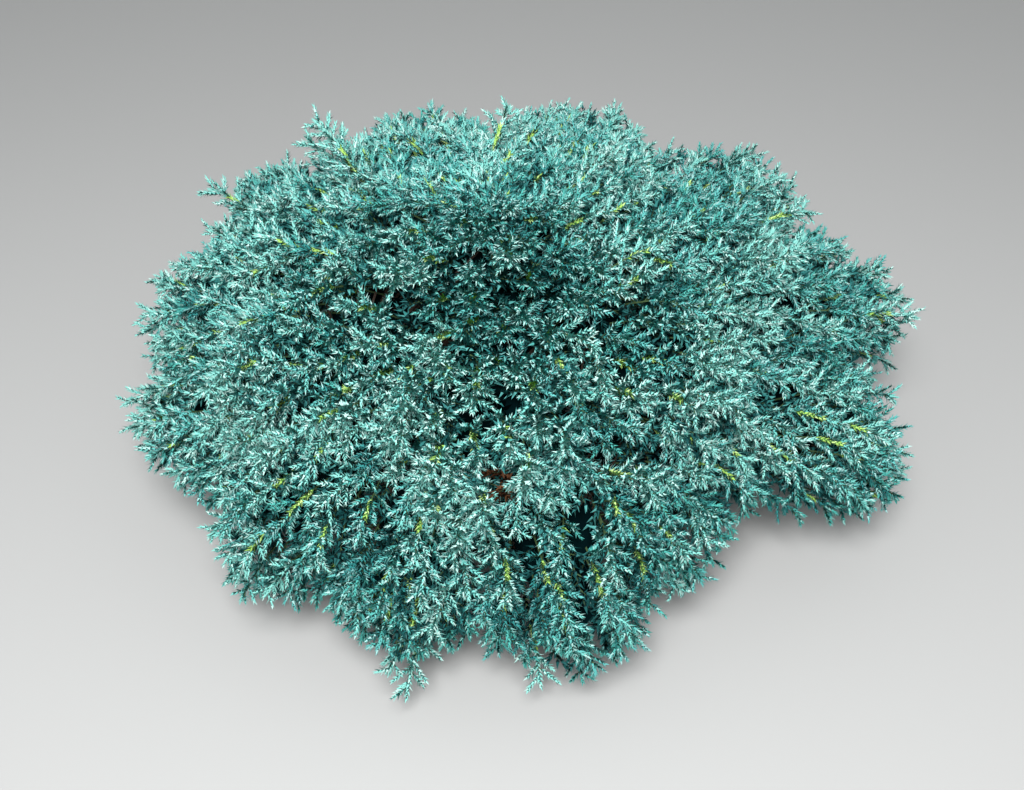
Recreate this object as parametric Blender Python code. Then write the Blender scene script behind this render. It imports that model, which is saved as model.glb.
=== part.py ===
"""Blue star juniper: a low, dense mound of blue needle sprays on short spreading boughs.

Run with blender --background --python part.py, or from Blender's text editor. Metres, +Z up.
The origin is the middle of the flat cut under the trunk, at ground level, and -Y is the front.

A short trunk forks into one bough for each mass of foliage. The masses stand in three tiers: a
skirt that reaches out and nods, shoulders above it, and one mass on top. Each mass is one solid: a
small core round a stem, with twigs that leave the stem by the golden angle, and on each twig a
spray, which is a thin toothed blade.
"""

import math
import random
from collections import namedtuple

import bmesh
import bpy
from mathutils import Matrix, Vector, noise

# Driving sizes
CROWN_TOP = 0.49  # height of the crown's envelope; the top sprays stand a little above it
CLEARANCE = 0.0003  # between solids that touch
WELD = 1e-6
GOLDEN_ANGLE = math.pi * (3 - math.sqrt(5))
UP = Vector((0, 0, 1))

# Trunk
TRUNK_HEIGHT = 0.185
TRUNK_FOOT_RADIUS = 0.023
TRUNK_TIP_RADIUS = 0.013
FLARE = 0.013  # how far the root flare adds to the foot's radius
FLARE_HEIGHT = 0.05
FLARE_LOBES = 5
FLARE_LOBE_DEPTH = 0.20  # share of the radius, at the ground
FLARE_RINGS = (0.0, 0.008, 0.018, 0.032)  # heights
RINGS_ABOVE_FLARE = 6
TRUNK_LEAN = Vector((0.016, 0.010, 0))  # how far the tip stands off the foot
LEAN_START = 0.010  # height of the upright foot below the lean
LEAN_CURVE = 1.2
TRUNK_SIDES = 12

# Boughs
BOUGH_SEGMENTS = 5
BOUGH_SIDES = 6
BOUGH_TIP_SHARE = 0.62  # of its root radius
BOUGH_TO_CORE = 0.012  # from a bough's tip to the core of its mass
BOUGH_PULL = 0.45  # how far each end holds its direction, as a share of the bough's length
BOUGH_RISE = 0.45  # how steeply it leaves the trunk: metres up for each metre out
STRAIGHT_END = 0.010  # the bough's last length, in line with the stem that follows
TOP_SEAT = 0.006  # how deep the top bough starts in the trunk before it is cut clear

# Rim of the skirt. In plan it is an oval that stands off the trunk, with one mass set back from it,
# and it lifts from the front to the back.
RIM_MASSES = 12
RIM_FIRST_AZIMUTH = -75
RIM_HALF_WIDTH = 0.53
RIM_HALF_DEPTH = 0.505
RIM_CENTRE = (0.055, 0.088)
RIM_HEIGHT = 0.15
RIM_LIFT = 0.075
SET_BACK_MASS = 1  # counted from 0, anticlockwise from the front
SET_BACK = 0.10


def rim_tips():
    """The reach and the height of each tip on the rim, anticlockwise from the front."""
    centre = Vector((RIM_CENTRE[0] / RIM_HALF_WIDTH, RIM_CENTRE[1] / RIM_HALF_DEPTH))
    tips = []
    for i in range(RIM_MASSES):
        azimuth = math.radians(RIM_FIRST_AZIMUTH + 360 * i / RIM_MASSES)
        way = Vector((math.cos(azimuth) / RIM_HALF_WIDTH, math.sin(azimuth) / RIM_HALF_DEPTH))
        # The ray from the trunk meets the oval where square * reach**2 - 2 * along * reach = short
        square = way.dot(way)
        along = way.dot(centre)
        short = 1 - centre.dot(centre)
        reach = (along + math.sqrt(along**2 + square * short)) / square
        if i == SET_BACK_MASS:
            reach -= SET_BACK
        tips.append((reach, RIM_HEIGHT + RIM_LIFT * math.sin(azimuth)))
    return tuple(tips)


# A tier is a ring of masses. The axis of a mass runs from its inner end, at a radius and a
# height, to its tip, at its reach and its tip height. Half the width and depth are the envelope's.
# sprays_round is the number of places for a spray round a whole mass; those that face inwards stay
# empty.
Tier = namedtuple(
    "Tier",
    "name first_azimuth inner_radius inner_height half_width half_depth "
    "fork_height bough_radius sprays_round tips",
)
SKIRT = Tier(
    name="skirt",
    first_azimuth=RIM_FIRST_AZIMUTH,
    inner_radius=0.20,
    inner_height=0.30,
    half_width=0.130,
    half_depth=0.110,
    fork_height=0.06,
    bough_radius=0.0068,
    sprays_round=34,
    tips=rim_tips(),
)
SHOULDER = Tier(
    name="shoulder",
    first_azimuth=-90,
    inner_radius=0.06,
    inner_height=0.36,
    half_width=0.138,
    half_depth=0.112,
    fork_height=0.125,
    bough_radius=0.0066,
    sprays_round=29,
    tips=((0.385, 0.305),) * 7,
)
TOP = Tier(
    name="top",
    first_azimuth=0,
    inner_radius=0.0,
    inner_height=0.26,
    half_width=0.148,
    half_depth=0.148,
    fork_height=TRUNK_HEIGHT,
    bough_radius=0.0095,
    sprays_round=30,
    tips=((0.0, CROWN_TOP),),
)
TIERS = (SKIRT, SHOULDER, TOP)
FORK_STAGGER = 0.024  # neighbouring boughs of the skirt leave the trunk this far apart in height

# Foliage
FULLNESS = 2.7  # of the envelopes: 2 is an ellipsoid, and more is nearer to a box
SPRAY_LENGTH = 0.126
SPRAY_SPREAD = 0.012  # how much a spray's length varies, each way
SPRAY_RISE = 0.50  # share of the surface's normal in a spray's direction, against the mass's growth
SPRAY_OUTWARD = 0.2  # how much it also leans away from the crown's heart
FLOW_LIFT = 0.25  # how much more level than its mass a spray grows
SPRAY_OVERREACH = 0.010  # how far a spray's tip passes the envelope
LEAD = 0.020  # how much further it passes at the far end of a mass
SPRAY_DROOP = 0.16  # how far its tip nods, as a share of its length
SPRAY_THICKNESS = 0.0085
SHORTER = (1.0, 0.85, 0.7, 0.58)  # lengths tried, as shares, where a spray would leave its space
SLIDE_LIMIT = 0.045  # how far a spray may be moved in from a wall of its space
BLADE_TEETH = 2  # on each side of a blade, besides its tip
TOOTH_LEAN = math.radians(44)  # from the blade's midrib
BLADE_ROOT = 0.05  # these six are shares of a blade's length
FIRST_TOOTH = 0.16
TOOTH_STEP = 0.30
TOOTH_LENGTH = 0.47
TOOTH_LOSS = 0.10  # how much shorter each tooth is than the one before
BLADE_WEB = 0.11  # half the blade's width between teeth
BLADE_CREST = 0.42  # where the blade is thickest; its outline can be seen whole from here
TOOTH_WOBBLE = 0.12  # how much a tooth's reach varies, each way, as a share
CORE_DEPTH = 0.051  # from the envelope down to the core
CORE_ROUGHNESS = 0.10  # height of the core's bumps, as a share of its size
CORE_BUMPS = 1.7  # how close together they are
STEM_REACH = 0.7  # how far the stem runs through the core, from its middle, as a share
STEM_TAPER = (1.0, 0.8, 0.4)  # of the bough's tip radius: at the stem's root, middle and tip
TWIG_RADIUS = 0.0026
TWIG_TAPER = 0.45
TWIG_SETBACK = 0.045  # how far back along the stem a twig leaves it
TWIG_END = 0.08  # where it ends, as a share of its blade's length
LIMB_ROOM = 0.005  # kept clear between a spray and a limb
GROUND_ROOM = 0.045  # no spray comes nearer to the ground than this
BURIED = 0.80  # a place within this share of another mass's envelope bears no spray
OUTER_ENOUGH = -0.10  # least dot product of a spray's place with the way out of the crown
UNDER_LIMIT = -0.60  # a place that faces further down than this bears no spray
CROWN_HEART = Vector((0, 0, 0.12))

Mass = namedtuple("Mass", "name tier centre axis side up length width depth azimuth fork_height seed")


# Layout


def radial(azimuth):
    """The level unit vector at an azimuth, counted anticlockwise from +X."""
    return Vector((math.cos(azimuth), math.sin(azimuth), 0))


def frame_round(axis, azimuth):
    """Unit vectors sideways and upwards of an axis."""
    side = Vector((-math.sin(azimuth), math.cos(azimuth), 0))
    return side, axis.cross(side) * (-1 if axis.cross(side).z < 0 else 1)


def fuller(unit):
    """Moves a point of the unit sphere out towards the corners of its box, so neighbours meet."""
    return unit / sum(abs(part) ** FULLNESS for part in unit) ** (1 / FULLNESS)


def on_envelope(mass, unit, depth=0.0):
    """The place on a mass's envelope, or that far inside it, that belongs to a unit vector."""
    full = fuller(unit)
    return (
        mass.centre
        + mass.axis * (mass.length - depth) * full.x
        + mass.side * (mass.width - depth) * full.y
        + mass.up * (mass.depth - depth) * full.z
    )


def lay_out_masses():
    """Every mass of the crown, tier by tier."""
    masses = []
    for tier in TIERS:
        for i, (reach, tip_height) in enumerate(tier.tips):
            azimuth = math.radians(tier.first_azimuth + 360 * i / len(tier.tips))
            out = radial(azimuth)
            inner = out * tier.inner_radius + UP * tier.inner_height
            tip = out * reach + UP * tip_height
            axis = (tip - inner).normalized()
            side, up = frame_round(axis, azimuth)
            alone = len(tier.tips) == 1
            masses.append(
                Mass(
                    name=f"foliage_{tier.name}" + ("" if alone else f"_{i + 1:02d}"),
                    tier=tier,
                    centre=(inner + tip) / 2,
                    axis=axis,
                    side=side,
                    up=up,
                    length=(tip - inner).length / 2,
                    width=tier.half_width,
                    depth=tier.half_depth,
                    azimuth=azimuth,
                    fork_height=tier.fork_height + FORK_STAGGER * (i % 2) * (tier is SKIRT),
                    seed=len(masses) + 1,
                )
            )
    return masses


def support(mass, direction):
    """How far a mass's envelope reaches from its centre in a direction."""
    parts = (
        mass.length * mass.axis.dot(direction),
        mass.width * mass.side.dot(direction),
        mass.depth * mass.up.dot(direction),
    )
    return Vector(parts).length


def walls_of(mass, masses):
    """The planes that bound a mass's space, as (point, outward normal), one against each neighbour."""
    walls = []
    for other in masses:
        if other is mass:
            continue
        between = other.centre - mass.centre
        normal = between.normalized()
        mine, theirs = support(mass, normal), support(other, -normal)
        if between.length < mine + theirs:
            share = mine / (mine + theirs)
            walls.append((mass.centre + between * share - normal * CLEARANCE, normal))
    return walls


def outside_walls(point, walls):
    return any((point - at).dot(normal) > 0 for at, normal in walls)


def slide_inside(points, walls):
    """The move that brings the points inside the walls, one wall after another."""
    slide = Vector((0, 0, 0))
    for at, normal in walls:
        over = max((point + slide - at).dot(normal) for point in points) + CLEARANCE
        if over > 0:
            slide -= normal * over
    return slide


def inside_envelope(point, mass, share):
    """True if the point is within that share of a mass's envelope."""
    away = point - mass.centre
    parts = (
        away.dot(mass.axis) / mass.length,
        away.dot(mass.side) / mass.width,
        away.dot(mass.up) / mass.depth,
    )
    return Vector(parts).length < share


# Trunk and boughs


def trunk_centre(height):
    share = max(0.0, height - LEAN_START) / TRUNK_HEIGHT
    return TRUNK_LEAN * share**LEAN_CURVE + UP * height


def trunk_radius(height):
    taper = TRUNK_FOOT_RADIUS + (TRUNK_TIP_RADIUS - TRUNK_FOOT_RADIUS) * height / TRUNK_HEIGHT
    return taper + FLARE * max(0.0, 1 - height / FLARE_HEIGHT) ** 2


def fork_point(mass):
    return trunk_centre(mass.fork_height)


def bough_tip(mass):
    """Where a bough ends and the stem of its mass begins, on the way from the fork to the core."""
    back = (fork_point(mass) - mass.centre).normalized()
    parts = (
        back.dot(mass.axis) / (mass.length - CORE_DEPTH),
        back.dot(mass.side) / (mass.width - CORE_DEPTH),
        back.dot(mass.up) / (mass.depth - CORE_DEPTH),
    )
    return on_envelope(mass, Vector(parts).normalized(), CORE_DEPTH) + back * BOUGH_TO_CORE


def bough_path(mass):
    """Points and radii along a bough, from the trunk's middle to its tip."""
    start = fork_point(mass)
    tip = bough_tip(mass)
    arriving = (mass.centre - tip).normalized()
    if mass.tier is TOP:
        start = start - UP * TOP_SEAT
        leaving = UP
    else:
        leaving = (radial(mass.azimuth) + UP * BOUGH_RISE).normalized()
    bend_end = tip - arriving * STRAIGHT_END
    pull = (bend_end - start).length * BOUGH_PULL
    a, b = start + leaving * pull, bend_end - arriving * pull
    points = []
    for i in range(BOUGH_SEGMENTS):
        t = i / (BOUGH_SEGMENTS - 1)
        points.append(
            start * (1 - t) ** 3
            + a * 3 * t * (1 - t) ** 2
            + b * 3 * t * t * (1 - t)
            + bend_end * t**3
        )
    points.append(tip)
    taper = (BOUGH_TIP_SHARE - 1) / BOUGH_SEGMENTS
    return points, [mass.tier.bough_radius * (1 + taper * i) for i in range(len(points))]


def tube_mesh(name, points, radii, sides):
    """A closed, tapering tube along the points, from a bevelled curve with its caps welded on."""
    curve = bpy.data.curves.new(name, "CURVE")
    curve.dimensions = "3D"
    curve.bevel_depth = 1.0
    curve.bevel_resolution = max(0, (sides - 4) // 2)
    curve.use_fill_caps = True
    spline = curve.splines.new("POLY")
    spline.points.add(len(points) - 1)
    for spot, point, radius in zip(spline.points, points, radii):
        spot.co = (*point, 1)
        spot.radius = radius
    guide = bpy.data.objects.new(name, curve)
    bpy.context.scene.collection.objects.link(guide)
    graph = bpy.context.evaluated_depsgraph_get()
    mesh = bpy.data.meshes.new_from_object(guide.evaluated_get(graph))
    bpy.data.objects.remove(guide)
    bpy.data.curves.remove(curve)
    shape = bmesh.new()
    shape.from_mesh(mesh)
    bmesh.ops.remove_doubles(shape, verts=shape.verts, dist=WELD)
    bmesh.ops.recalc_face_normals(shape, faces=shape.faces)
    shape.to_mesh(mesh)
    shape.free()
    return mesh


def trunk_mesh(name, extra=0.0):
    """The trunk from its flat cut to its tip, with lobes in the root flare. extra widens a cutter."""
    step = (TRUNK_HEIGHT - FLARE_HEIGHT) / (RINGS_ABOVE_FLARE - 1)
    heights = list(FLARE_RINGS) + [FLARE_HEIGHT + step * i for i in range(RINGS_ABOVE_FLARE)]
    heights[-1] += extra
    points = [trunk_centre(z) for z in heights]
    radii = [trunk_radius(z) + extra for z in heights]
    mesh = tube_mesh(name, points, radii, TRUNK_SIDES)
    for vertex in mesh.vertices:
        low = max(0.0, 1 - vertex.co.z / FLARE_HEIGHT)
        angle = math.atan2(vertex.co.y, vertex.co.x)
        lobes = 1 + FLARE_LOBE_DEPTH * low * math.cos(FLARE_LOBES * angle)
        vertex.co.x *= lobes
        vertex.co.y *= lobes
    return mesh


# Foliage


def teeth_outline():
    """A blade's outline on one side, from its root to the last notch, as (along, across) in shares of
    its length."""
    side = [(BLADE_ROOT, BLADE_WEB)]
    for i in range(BLADE_TEETH):
        foot = FIRST_TOOTH + TOOTH_STEP * i
        length = TOOTH_LENGTH - TOOTH_LOSS * i
        side.append((foot + length * math.cos(TOOTH_LEAN), length * math.sin(TOOTH_LEAN)))
        side.append((foot + TOOTH_STEP, BLADE_WEB))
    return side


def spray_blade(length, rng):
    """A toothed blade along +X with its face towards +Z: a flat double cone whose rim is cut to teeth."""
    side = teeth_outline()
    rim = [(1.0, 0.0)] + side[::-1] + [(x, -y) for x, y in side]
    shape = bmesh.new()
    bmesh.ops.create_uvsphere(shape, u_segments=len(rim), v_segments=2, radius=1.0)
    level = [v for v in shape.verts if abs(v.co.z) < 0.5]
    level.sort(key=lambda v: math.atan2(v.co.y, v.co.x) % math.tau)
    for vertex, (along, across) in zip(level, rim):
        vertex.co = (along, across * (1 + rng.uniform(-1, 1) * TOOTH_WOBBLE), 0)
    for vertex in shape.verts:
        if vertex not in level:
            vertex.co = (BLADE_CREST, 0, math.copysign(SPRAY_THICKNESS / 2 / length, vertex.co.z))
    for vertex in shape.verts:
        vertex.co.z -= SPRAY_DROOP * vertex.co.x**2
        vertex.co *= length
    bmesh.ops.recalc_face_normals(shape, faces=shape.faces)
    return shape


def spray_places(mass, masses):
    """Where the sprays of a mass end: (tip, way it grows, surface normal) for each place that faces out."""
    places = []
    count = mass.tier.sprays_round
    for k in range(count):
        along = 1 - 2 * (k + 0.5) / count
        angle = k * GOLDEN_ANGLE + mass.seed
        ring = math.sqrt(1 - along * along)
        unit = Vector((along, ring * math.cos(angle), ring * math.sin(angle)))
        spot = on_envelope(mass, unit)
        normal = (
            mass.axis * unit.x / mass.length
            + mass.side * unit.y / mass.width
            + mass.up * unit.z / mass.depth
        ).normalized()
        out = (spot - CROWN_HEART).normalized()
        buried = any(inside_envelope(spot, other, BURIED) for other in masses if other is not mass)
        if buried or normal.dot(out) < OUTER_ENOUGH or normal.z < UNDER_LIMIT:
            continue
        level = Vector((spot.x, spot.y, 0)).normalized()
        flow = level if mass.tier is TOP else (mass.axis + UP * FLOW_LIFT).normalized()
        grow = (normal * SPRAY_RISE + flow * (1 - SPRAY_RISE) + out * SPRAY_OUTWARD).normalized()
        lead = LEAD * max(0, along) ** 3 * (1 - mass.axis.z)
        places.append((spot + grow * (SPRAY_OVERREACH + lead), grow, normal))
    return places


def spray_matrix(root, grow, normal):
    """Lays a blade's +X along its growth and turns its face to the surface's normal."""
    across = normal.cross(grow).normalized()
    face = grow.cross(across)
    return Matrix.Translation(root) @ Matrix((grow, across, face)).transposed().to_4x4()


def too_near_limb(points, limbs):
    """True if any point comes within LIMB_ROOM of a limb's bark."""
    for path, radii in limbs:
        for a, b, radius in zip(path, path[1:], radii):
            run = b - a
            for point in points:
                share = min(1, max(0, (point - a).dot(run) / run.length_squared))
                if (point - a - run * share).length < radius + LIMB_ROOM:
                    return True
    return False


def core_mesh(mass, walls):
    """The dense inside of a mass: a rough ball drawn out along the stem, kept within its walls."""
    shape = bmesh.new()
    bmesh.ops.create_icosphere(shape, subdivisions=2, radius=1.0)
    for vertex in shape.verts:
        bump = CORE_ROUGHNESS * noise.noise(vertex.co * CORE_BUMPS + Vector((mass.seed, 0, 0)))
        spot = mass.centre.lerp(on_envelope(mass, vertex.co.normalized(), CORE_DEPTH), 1 + bump)
        for at, normal in walls:
            over = (spot - at).dot(normal) + CLEARANCE
            if over > 0:
                spot -= normal * over
        vertex.co = spot
    mesh = bpy.data.meshes.new(mass.name + "_core")
    shape.to_mesh(mesh)
    shape.free()
    return mesh


def foliage_parts(mass, masses, limbs):
    """The meshes that are fused into one mass: core, stem, and a twig and a blade for each spray."""
    rng = random.Random(mass.seed)
    walls = walls_of(mass, masses)
    reach = (mass.length - CORE_DEPTH) * STEM_REACH
    tip = bough_tip(mass)
    stem = [
        tip + (mass.centre - tip).normalized() * CLEARANCE,
        mass.centre,
        mass.centre + mass.axis * reach,
    ]
    radii = [mass.tier.bough_radius * BOUGH_TIP_SHARE * share for share in STEM_TAPER]
    parts = [core_mesh(mass, walls), tube_mesh(mass.name + "_stem", stem, radii, BOUGH_SIDES)]
    for tip, grow, normal in spray_places(mass, masses):
        full = SPRAY_LENGTH + rng.uniform(-1, 1) * SPRAY_SPREAD
        for share in SHORTER:
            length = full * share
            blade = spray_blade(length, rng)
            root = tip - grow * full
            blade.transform(spray_matrix(root, grow, normal))
            slide = slide_inside([v.co for v in blade.verts], walls)
            bmesh.ops.translate(blade, verts=blade.verts, vec=slide)
            spots = [v.co for v in blade.verts]
            fits = slide.length < SLIDE_LIMIT and min(spot.z for spot in spots) > GROUND_ROOM
            if fits and not any(outside_walls(s, walls) for s in spots) and not too_near_limb(spots, limbs):
                break
            blade.free()
        else:
            continue
        mesh = bpy.data.meshes.new(mass.name + "_blade")
        blade.to_mesh(mesh)
        blade.free()
        parts.append(mesh)
        along = (root - mass.centre).dot(mass.axis) - TWIG_SETBACK
        leaving = mass.centre + mass.axis * max(0, min(reach, along))
        ending = root + slide + grow * length * TWIG_END - normal * SPRAY_DROOP * length * TWIG_END**2
        parts.append(twig_mesh(mass.name + "_twig", leaving, ending))
    return parts


def twig_mesh(name, start, end):
    """A three-sided twig that tapers from the stem to the root of its blade."""
    shape = bmesh.new()
    run = end - start
    bmesh.ops.create_cone(
        shape,
        cap_ends=True,
        segments=3,
        radius1=TWIG_RADIUS,
        radius2=TWIG_RADIUS * TWIG_TAPER,
        depth=run.length,
    )
    shape.transform(Matrix.Translation((start + end) / 2) @ run.to_track_quat("Z", "Y").to_matrix().to_4x4())
    mesh = bpy.data.meshes.new(name)
    shape.to_mesh(mesh)
    shape.free()
    return mesh


def fuse(name, meshes):
    """One Boolean union of the meshes, applied. A loose scrap is dropped and a sealed hollow filled."""
    pieces = bpy.data.collections.new(name + "_pieces")
    bpy.context.scene.collection.children.link(pieces)
    made = [bpy.data.objects.new(mesh.name, mesh) for mesh in meshes]
    for piece in made[1:]:
        pieces.objects.link(piece)
    body = made[0]
    bpy.context.scene.collection.objects.link(body)
    union = body.modifiers.new("union", "BOOLEAN")
    union.operation = "UNION"
    union.operand_type = "COLLECTION"
    union.collection = pieces
    union.solver = "EXACT"
    graph = bpy.context.evaluated_depsgraph_get()
    mesh = bpy.data.meshes.new_from_object(body.evaluated_get(graph))
    for piece in made:
        bpy.data.objects.remove(piece)
    for used in meshes:
        bpy.data.meshes.remove(used)
    bpy.data.collections.remove(pieces)
    keep_largest_body(mesh)
    mesh.name = name
    return mesh


def keep_largest_body(mesh):
    """Deletes every connected part of the mesh but the one with the most vertices."""
    shape = bmesh.new()
    shape.from_mesh(mesh)
    unseen = set(shape.verts)
    bodies = []
    while unseen:
        seed = unseen.pop()
        body, edge = {seed}, [seed]
        while edge:
            for link in edge.pop().link_edges:
                for vertex in link.verts:
                    if vertex in unseen:
                        unseen.discard(vertex)
                        body.add(vertex)
                        edge.append(vertex)
        bodies.append(body)
    bodies.sort(key=len)
    for body in bodies[:-1]:
        bmesh.ops.delete(shape, geom=list(body), context="VERTS")
    shape.to_mesh(mesh)
    shape.free()


# Scene


def material(name, colour, roughness):
    made = bpy.data.materials.new(name)
    made.use_nodes = True
    shader = made.node_tree.nodes["Principled BSDF"]
    shader.inputs["Base Color"].default_value = (*colour, 1)
    shader.inputs["Roughness"].default_value = roughness
    shader.inputs["Metallic"].default_value = 0.0
    return made


def add(name, mesh, collection, finish):
    """Links a mesh as a named object with one material."""
    placed = bpy.data.objects.new(name, mesh)
    mesh.materials.clear()
    mesh.materials.append(finish)
    collection.objects.link(placed)
    return placed


def cut(target, cutter):
    """Takes the cutter's shape out of the target, as a modifier that stays on it."""
    modifier = target.modifiers.new("clear_of_trunk", "BOOLEAN")
    modifier.operation = "DIFFERENCE"
    modifier.solver = "EXACT"
    modifier.object = cutter


def clear_scene():
    for existing in list(bpy.data.objects):
        bpy.data.objects.remove(existing)


def build():
    clear_scene()
    plant = bpy.data.collections.new("blue_star_juniper")
    cutters = bpy.data.collections.new("cutters")
    bpy.context.scene.collection.children.link(plant)
    bpy.context.scene.collection.children.link(cutters)
    bark = material("bark", (0.20, 0.12, 0.075), 0.85)
    needles = material("needles", (0.16, 0.36, 0.34), 0.60)

    trunk = add("trunk", trunk_mesh("trunk"), plant, bark)
    trunk.data.shade_smooth()
    around_trunk = add("around_trunk", trunk_mesh("around_trunk", extra=CLEARANCE), cutters, bark)
    around_trunk.hide_render = True
    around_trunk.display_type = "WIRE"

    masses = lay_out_masses()
    limbs = [bough_path(mass) for mass in masses]
    for mass, (points, radii) in zip(masses, limbs):
        name = mass.name.replace("foliage", "bough")
        bough = add(name, tube_mesh(name, points, radii, BOUGH_SIDES), plant, bark)
        bough.data.shade_smooth()
        cut(bough, around_trunk)
    for mass in masses:
        mesh = fuse(mass.name, foliage_parts(mass, masses, limbs))
        add(mass.name, mesh, plant, needles)


build()
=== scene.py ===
"""Blue star juniper, dressed: bark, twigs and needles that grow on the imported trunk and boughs.

The masses of foliage are laid out by the same rule as the solids: tiers of envelopes round the
crown, with places for sprays on each by the golden angle. Here every spray is carried on to its
leader, its side shoots and its needles. Lengths are in metres.
"""

import math
from collections import namedtuple

import bmesh
import bpy
import numpy as np
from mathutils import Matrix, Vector, noise


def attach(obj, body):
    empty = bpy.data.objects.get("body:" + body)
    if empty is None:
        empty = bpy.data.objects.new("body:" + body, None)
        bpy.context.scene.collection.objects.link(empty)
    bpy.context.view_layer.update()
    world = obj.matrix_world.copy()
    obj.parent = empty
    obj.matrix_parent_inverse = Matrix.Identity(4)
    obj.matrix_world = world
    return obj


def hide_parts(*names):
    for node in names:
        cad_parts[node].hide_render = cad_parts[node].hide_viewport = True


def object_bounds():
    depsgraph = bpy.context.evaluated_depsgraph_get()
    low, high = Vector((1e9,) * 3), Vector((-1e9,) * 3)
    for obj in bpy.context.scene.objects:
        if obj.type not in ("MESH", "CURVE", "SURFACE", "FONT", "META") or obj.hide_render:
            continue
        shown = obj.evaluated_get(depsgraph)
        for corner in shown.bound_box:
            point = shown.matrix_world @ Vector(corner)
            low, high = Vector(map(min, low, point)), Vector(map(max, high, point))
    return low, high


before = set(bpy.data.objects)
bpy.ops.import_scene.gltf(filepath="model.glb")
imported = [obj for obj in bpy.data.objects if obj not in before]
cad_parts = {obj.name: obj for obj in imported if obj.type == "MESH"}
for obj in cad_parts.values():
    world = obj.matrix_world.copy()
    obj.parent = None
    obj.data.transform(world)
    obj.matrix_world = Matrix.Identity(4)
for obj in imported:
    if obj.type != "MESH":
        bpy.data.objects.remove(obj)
cad_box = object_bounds()
box_low, box_high = np.array(cad_box[0]), np.array(cad_box[1])

SEED = 7
rng = np.random.default_rng(SEED)
GOLDEN_ANGLE = math.pi * (3 - math.sqrt(5))
GOLDEN_SHARE = (math.sqrt(5) - 1) / 2
UP = np.array([0.0, 0.0, 1.0])
TINY = 1e-12  # stands in for the length of a vector that has none
NEARLY_UPRIGHT = 1e-3  # a way is upright if its cross product with UP is shorter
STEEP = 0.95  # a tube steeper than this takes its side from another axis

# Trunk and boughs, as in the solids
TRUNK_HEIGHT = 0.185
TRUNK_FOOT_RADIUS = 0.023
TRUNK_TIP_RADIUS = 0.013
TRUNK_LEAN = np.array([0.016, 0.010, 0])
LEAN_START = 0.010
LEAN_CURVE = 1.2
FLARE = 0.013
FLARE_HEIGHT = 0.05
FLARE_DEPTH = 0.20
FLARE_LOBES = 5
FORK_STAGGER = 0.024
BOUGH_RISE = 0.45  # up for each unit out, where a bough leaves the trunk
BOUGH_PULL = 0.45  # share of its length that the ways it leaves and arrives carry through
BOUGH_TIP_SHARE = 0.62
TIP_BACK = 0.012  # from the core's envelope towards the trunk
TOP_SEAT = 0.006
STRAIGHT_END = 0.010

# Bark, which has its ridges and flakes in the mesh
TRUNK_RINGS = 60
TRUNK_SIDES = 48
BOUGH_RINGS = 26
BOUGH_SIDES = 16
BARK_RELIEF = 0.10  # share of the limb's radius
RIDGE_FINENESS = 260
RIDGE_FINENESS_ALONG = 45
FLAKE_FINENESS = 420
FLAKE_SHARE = 0.4  # against the ridges

# Crown, as in the solids: the skirt's rim is an oval that stands off the trunk, with one mass set
# back from it, and it lifts from the front to the back
RIM_MASSES = 12
RIM_FIRST_AZIMUTH = -75
RIM_HALF = np.array([0.53, 0.505])
RIM_CENTRE = np.array([0.055, 0.088])
RIM_HEIGHT = 0.15
RIM_LIFT = 0.075
SET_BACK_MASS = 1
SET_BACK = 0.10


def rim_tips():
    """The reach and the height of each tip on the rim, anticlockwise from the front."""
    centre = RIM_CENTRE / RIM_HALF
    tips = []
    for i in range(RIM_MASSES):
        azimuth = math.radians(RIM_FIRST_AZIMUTH + 360 * i / RIM_MASSES)
        way = np.array([math.cos(azimuth), math.sin(azimuth)]) / RIM_HALF
        square, along = way @ way, way @ centre
        reach = (along + math.sqrt(along**2 + square * (1 - centre @ centre))) / square
        if i == SET_BACK_MASS:
            reach -= SET_BACK
        tips.append((reach, RIM_HEIGHT + RIM_LIFT * math.sin(azimuth)))
    return tuple(tips)


Tier = namedtuple(
    "Tier",
    "name first_azimuth inner_radius inner_height half_width half_depth fork_height bough_radius tips",
)
SKIRT = Tier(
    name="skirt",
    first_azimuth=RIM_FIRST_AZIMUTH,
    inner_radius=0.20,
    inner_height=0.30,
    half_width=0.130,
    half_depth=0.110,
    fork_height=0.06,
    bough_radius=0.0068,
    tips=rim_tips(),
)
SHOULDER = Tier(
    name="shoulder",
    first_azimuth=-90,
    inner_radius=0.06,
    inner_height=0.36,
    half_width=0.138,
    half_depth=0.112,
    fork_height=0.125,
    bough_radius=0.0066,
    tips=((0.385, 0.305),) * 7,
)
TOP = Tier(
    name="top",
    first_azimuth=0,
    inner_radius=0.0,
    inner_height=0.26,
    half_width=0.148,
    half_depth=0.148,
    fork_height=TRUNK_HEIGHT,
    bough_radius=0.0095,
    tips=((0.0, 0.49),),
)
TIERS = (SKIRT, SHOULDER, TOP)
FULLNESS = 2.7  # of an envelope: 2 is an ellipsoid, and more is nearer to a box
CORE_DEPTH = 0.051
CROWN_HEART = np.array([0.0, 0.0, 0.12])
MELD = 8.0  # the less it is, the more the valleys between masses fill
LEAST_SHARE = 1e-3  # so that a mass's centre can be raised to a negative power
SLOPE_STEP = 0.002
PUSH_LIMIT = 0.07  # how far a place may be moved out
PUSH_HALVINGS = 9

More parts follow.
